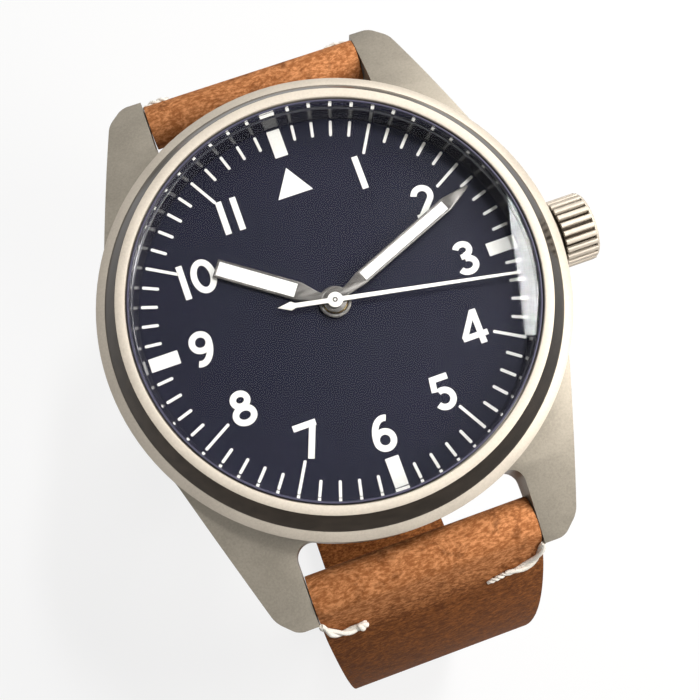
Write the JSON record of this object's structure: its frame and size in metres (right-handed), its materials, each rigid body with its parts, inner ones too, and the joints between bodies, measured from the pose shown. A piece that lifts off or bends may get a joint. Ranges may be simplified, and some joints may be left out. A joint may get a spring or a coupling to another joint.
{
  "type": "wristwatch",
  "caption": "Pilot-style wristwatch with a round case, dark dial, hand-wound movement, crown and two-part leather strap with buckle, unbuckled.",
  "frame": {"origin": "centre of the case back's outer face, on the axis of the hands", "axes": "+Z out through the dial, +Y to twelve o'clock, +X to the crown at three o'clock"},
  "size_m": [0.0435, 0.0652, 0.069],
  "materials": {
    "titanium": "bead-blasted satin, warm grey",
    "crystal": "clear, polished",
    "gasket": "matt black",
    "rehaut": "polished dark",
    "dial": "dark satin, near black",
    "marking": "white luminous print",
    "lume": "white luminous fill",
    "hand_metal": "brushed grey",
    "hand_paint": "cream paint",
    "holder": "moulded",
    "plated_brass": "matt plated",
    "wheel_brass": "polished brass",
    "steel": "fine brushed",
    "leather": "pull-up, mottled brown"
  },
  "bodies": {
    "case": {"mid_case": "titanium", "bezel": "titanium", "crystal": "crystal", "crystal_gasket": "gasket", "rehaut": "rehaut", "dial": "dial", "dial_markers": "marking", "movement_ring": "holder", "main_plate": "plated_brass", "barrel_bridge": "plated_brass", "train_bridge": "plated_brass", "balance_cock": "plated_brass", "pallet_cock": "plated_brass", "centre_cock": "plated_brass", "crown_tube": "steel", "case_back": "titanium", "case_back_gasket": "gasket", "spring_bar_upper": "steel", "spring_bar_lower": "steel", "hairspring": "steel"},
    "barrel": {"mainspring_barrel": "wheel_brass", "mainspring": "steel"},
    "winding_arbor": {"barrel_arbor": "steel", "ratchet_wheel": "steel"},
    "minutes": {"centre_wheel": "wheel_brass", "cannon_pinion": "wheel_brass", "minute_hand": "hand_metal", "minute_lume": "lume"},
    "third": {"third_wheel": "wheel_brass"},
    "seconds": {"fourth_wheel": "wheel_brass", "seconds_hand": "hand_paint"},
    "escape": {"escape_wheel": "steel"},
    "fork": {"pallet_fork": "steel"},
    "balance": {"balance_wheel": "wheel_brass"},
    "minute_transfer": {"minute_wheel": "wheel_brass"},
    "hours": {"hour_wheel": "wheel_brass", "hour_hand": "hand_metal", "hour_lume": "lume"},
    "crown_transfer": {"crown_wheel": "steel"},
    "sliding_clutch": {"clutch": "steel"},
    "winding_gear": {"winding_pinion": "steel"},
    "crown_and_stem": {"stem": "steel", "crown": "titanium", "crown_gasket": "gasket"},
    "lever": {"setting_lever": "steel"},
    "click_pawl": {"click": "steel"},
    "upper_strap": {"strap_upper": "leather", "keeper_fixed": "leather"},
    "lower_strap": {"strap_lower": "leather"},
    "free_keeper": {"keeper_sliding": "leather"},
    "buckle": {"buckle_frame": "steel", "buckle_bar": "steel"},
    "tongue": {"buckle_tongue": "steel"}
  },
  "joints": [
    {"name": "seconds_turn", "type": "hinge", "parent": "case", "child": "seconds", "pos_m": [0, 0, 0.004], "axis": [0, 0, 1], "continuous": true},
    {"name": "third_turn", "type": "hinge", "parent": "case", "child": "third", "pos_m": [-0.0034, -0.00124, 0.004], "axis": [0, 0, 1], "continuous": true},
    {"name": "minutes_turn", "type": "hinge", "parent": "case", "child": "minutes", "pos_m": [0, 0, 0.004], "axis": [0, 0, 1], "continuous": true},
    {"name": "barrel_turn", "type": "hinge", "parent": "case", "child": "barrel", "pos_m": [0.00136, 0.00509, 0.004], "axis": [0, 0, 1], "continuous": true},
    {"name": "escape_turn", "type": "hinge", "parent": "case", "child": "escape", "pos_m": [0.00062, -0.00353, 0.004], "axis": [0, 0, 1], "continuous": true},
    {"name": "minute_transfer_turn", "type": "hinge", "parent": "case", "child": "minute_transfer", "pos_m": [-0.00348, 0.00201, 0.004], "axis": [0, 0, 1], "continuous": true},
    {"name": "hours_turn", "type": "hinge", "parent": "case", "child": "hours", "pos_m": [0, 0, 0.004], "axis": [0, 0, 1], "continuous": true},
    {"name": "fork_rock", "type": "hinge", "parent": "case", "child": "fork", "pos_m": [0.00269, -0.00527, 0.004], "axis": [0, 0, 1], "range_deg": [-5, 5]},
    {"name": "balance_swing", "type": "hinge", "parent": "case", "child": "balance", "pos_m": [0.00484, -0.00706, 0.004], "axis": [0, 0, 1], "range_deg": [-270, 270], "stiffness_Nm_per_rad": 0.00000013},
    {"name": "crown_turn", "type": "hinge", "parent": "case", "child": "sliding_clutch", "pos_m": [0, 0, 0.0044], "axis": [1, 0, 0], "continuous": true},
    {"name": "crown_pull", "type": "slide", "parent": "sliding_clutch", "child": "crown_and_stem", "axis": [1, 0, 0], "range_m": [0, 0.0012]},
    {"name": "winding_turn", "type": "hinge", "parent": "case", "child": "winding_gear", "pos_m": [0, 0, 0.0044], "axis": [1, 0, 0], "continuous": true},
    {"name": "crown_wheel_turn", "type": "hinge", "parent": "case", "child": "crown_transfer", "pos_m": [0.00745, 0, 0.004], "axis": [0, 0, 1], "continuous": true},
    {"name": "ratchet_turn", "type": "hinge", "parent": "case", "child": "winding_arbor", "pos_m": [0.00136, 0.00509, 0.004], "axis": [0, 0, 1], "continuous": true},
    {"name": "lever_swing", "type": "hinge", "parent": "case", "child": "lever", "pos_m": [0.0118, -0.0029, 0.004], "axis": [0, 0, 1], "range_deg": [-29.3, 0]},
    {"name": "click_lift", "type": "hinge", "parent": "case", "child": "click_pawl", "pos_m": [-0.0052, 0.00566, 0.004], "axis": [0, 0, 1], "range_deg": [0, 8], "stiffness_Nm_per_rad": 0.00001},
    {"name": "strap_upper_swing", "type": "hinge", "parent": "case", "child": "upper_strap", "pos_m": [0, 0.02225, 0.0023], "axis": [1, 0, 0], "range_deg": [-2, 85]},
    {"name": "strap_lower_swing", "type": "hinge", "parent": "case", "child": "lower_strap", "pos_m": [0, -0.02225, 0.0023], "axis": [1, 0, 0], "range_deg": [-85, 2]},
    {"name": "keeper_slide", "type": "hinge", "parent": "upper_strap", "child": "free_keeper", "pos_m": [0, 0.00772, -0.02026], "axis": [1, 0, 0], "range_deg": [-12, 24]},
    {"name": "buckle_swing", "type": "hinge", "parent": "upper_strap", "child": "buckle", "pos_m": [0, 0.00122, -0.03726], "axis": [1, 0, 0], "range_deg": [-60, 40]},
    {"name": "tongue_swing", "type": "hinge", "parent": "buckle", "child": "tongue", "pos_m": [0, 0.00122, -0.03726], "axis": [1, 0, 0], "range_deg": [0, 55]}
  ],
  "couplings": [
    {"joint": "third_turn", "follows": "seconds_turn", "ratio": -0.13333},
    {"joint": "minutes_turn", "follows": "seconds_turn", "ratio": 0.016667},
    {"joint": "barrel_turn", "follows": "seconds_turn", "ratio": -0.0027778},
    {"joint": "escape_turn", "follows": "seconds_turn", "ratio": -10},
    {"joint": "minute_transfer_turn", "follows": "seconds_turn", "ratio": -0.0055556},
    {"joint": "hours_turn", "follows": "seconds_turn", "ratio": 0.0013889},
    {"joint": "winding_turn", "follows": "crown_turn", "ratio": 1},
    {"joint": "crown_wheel_turn", "follows": "crown_turn", "ratio": 0.6},
    {"joint": "ratchet_turn", "follows": "crown_turn", "ratio": -0.32},
    {"joint": "lever_swing", "follows": "crown_pull", "rad_per_m": -425.3}
  ]
}
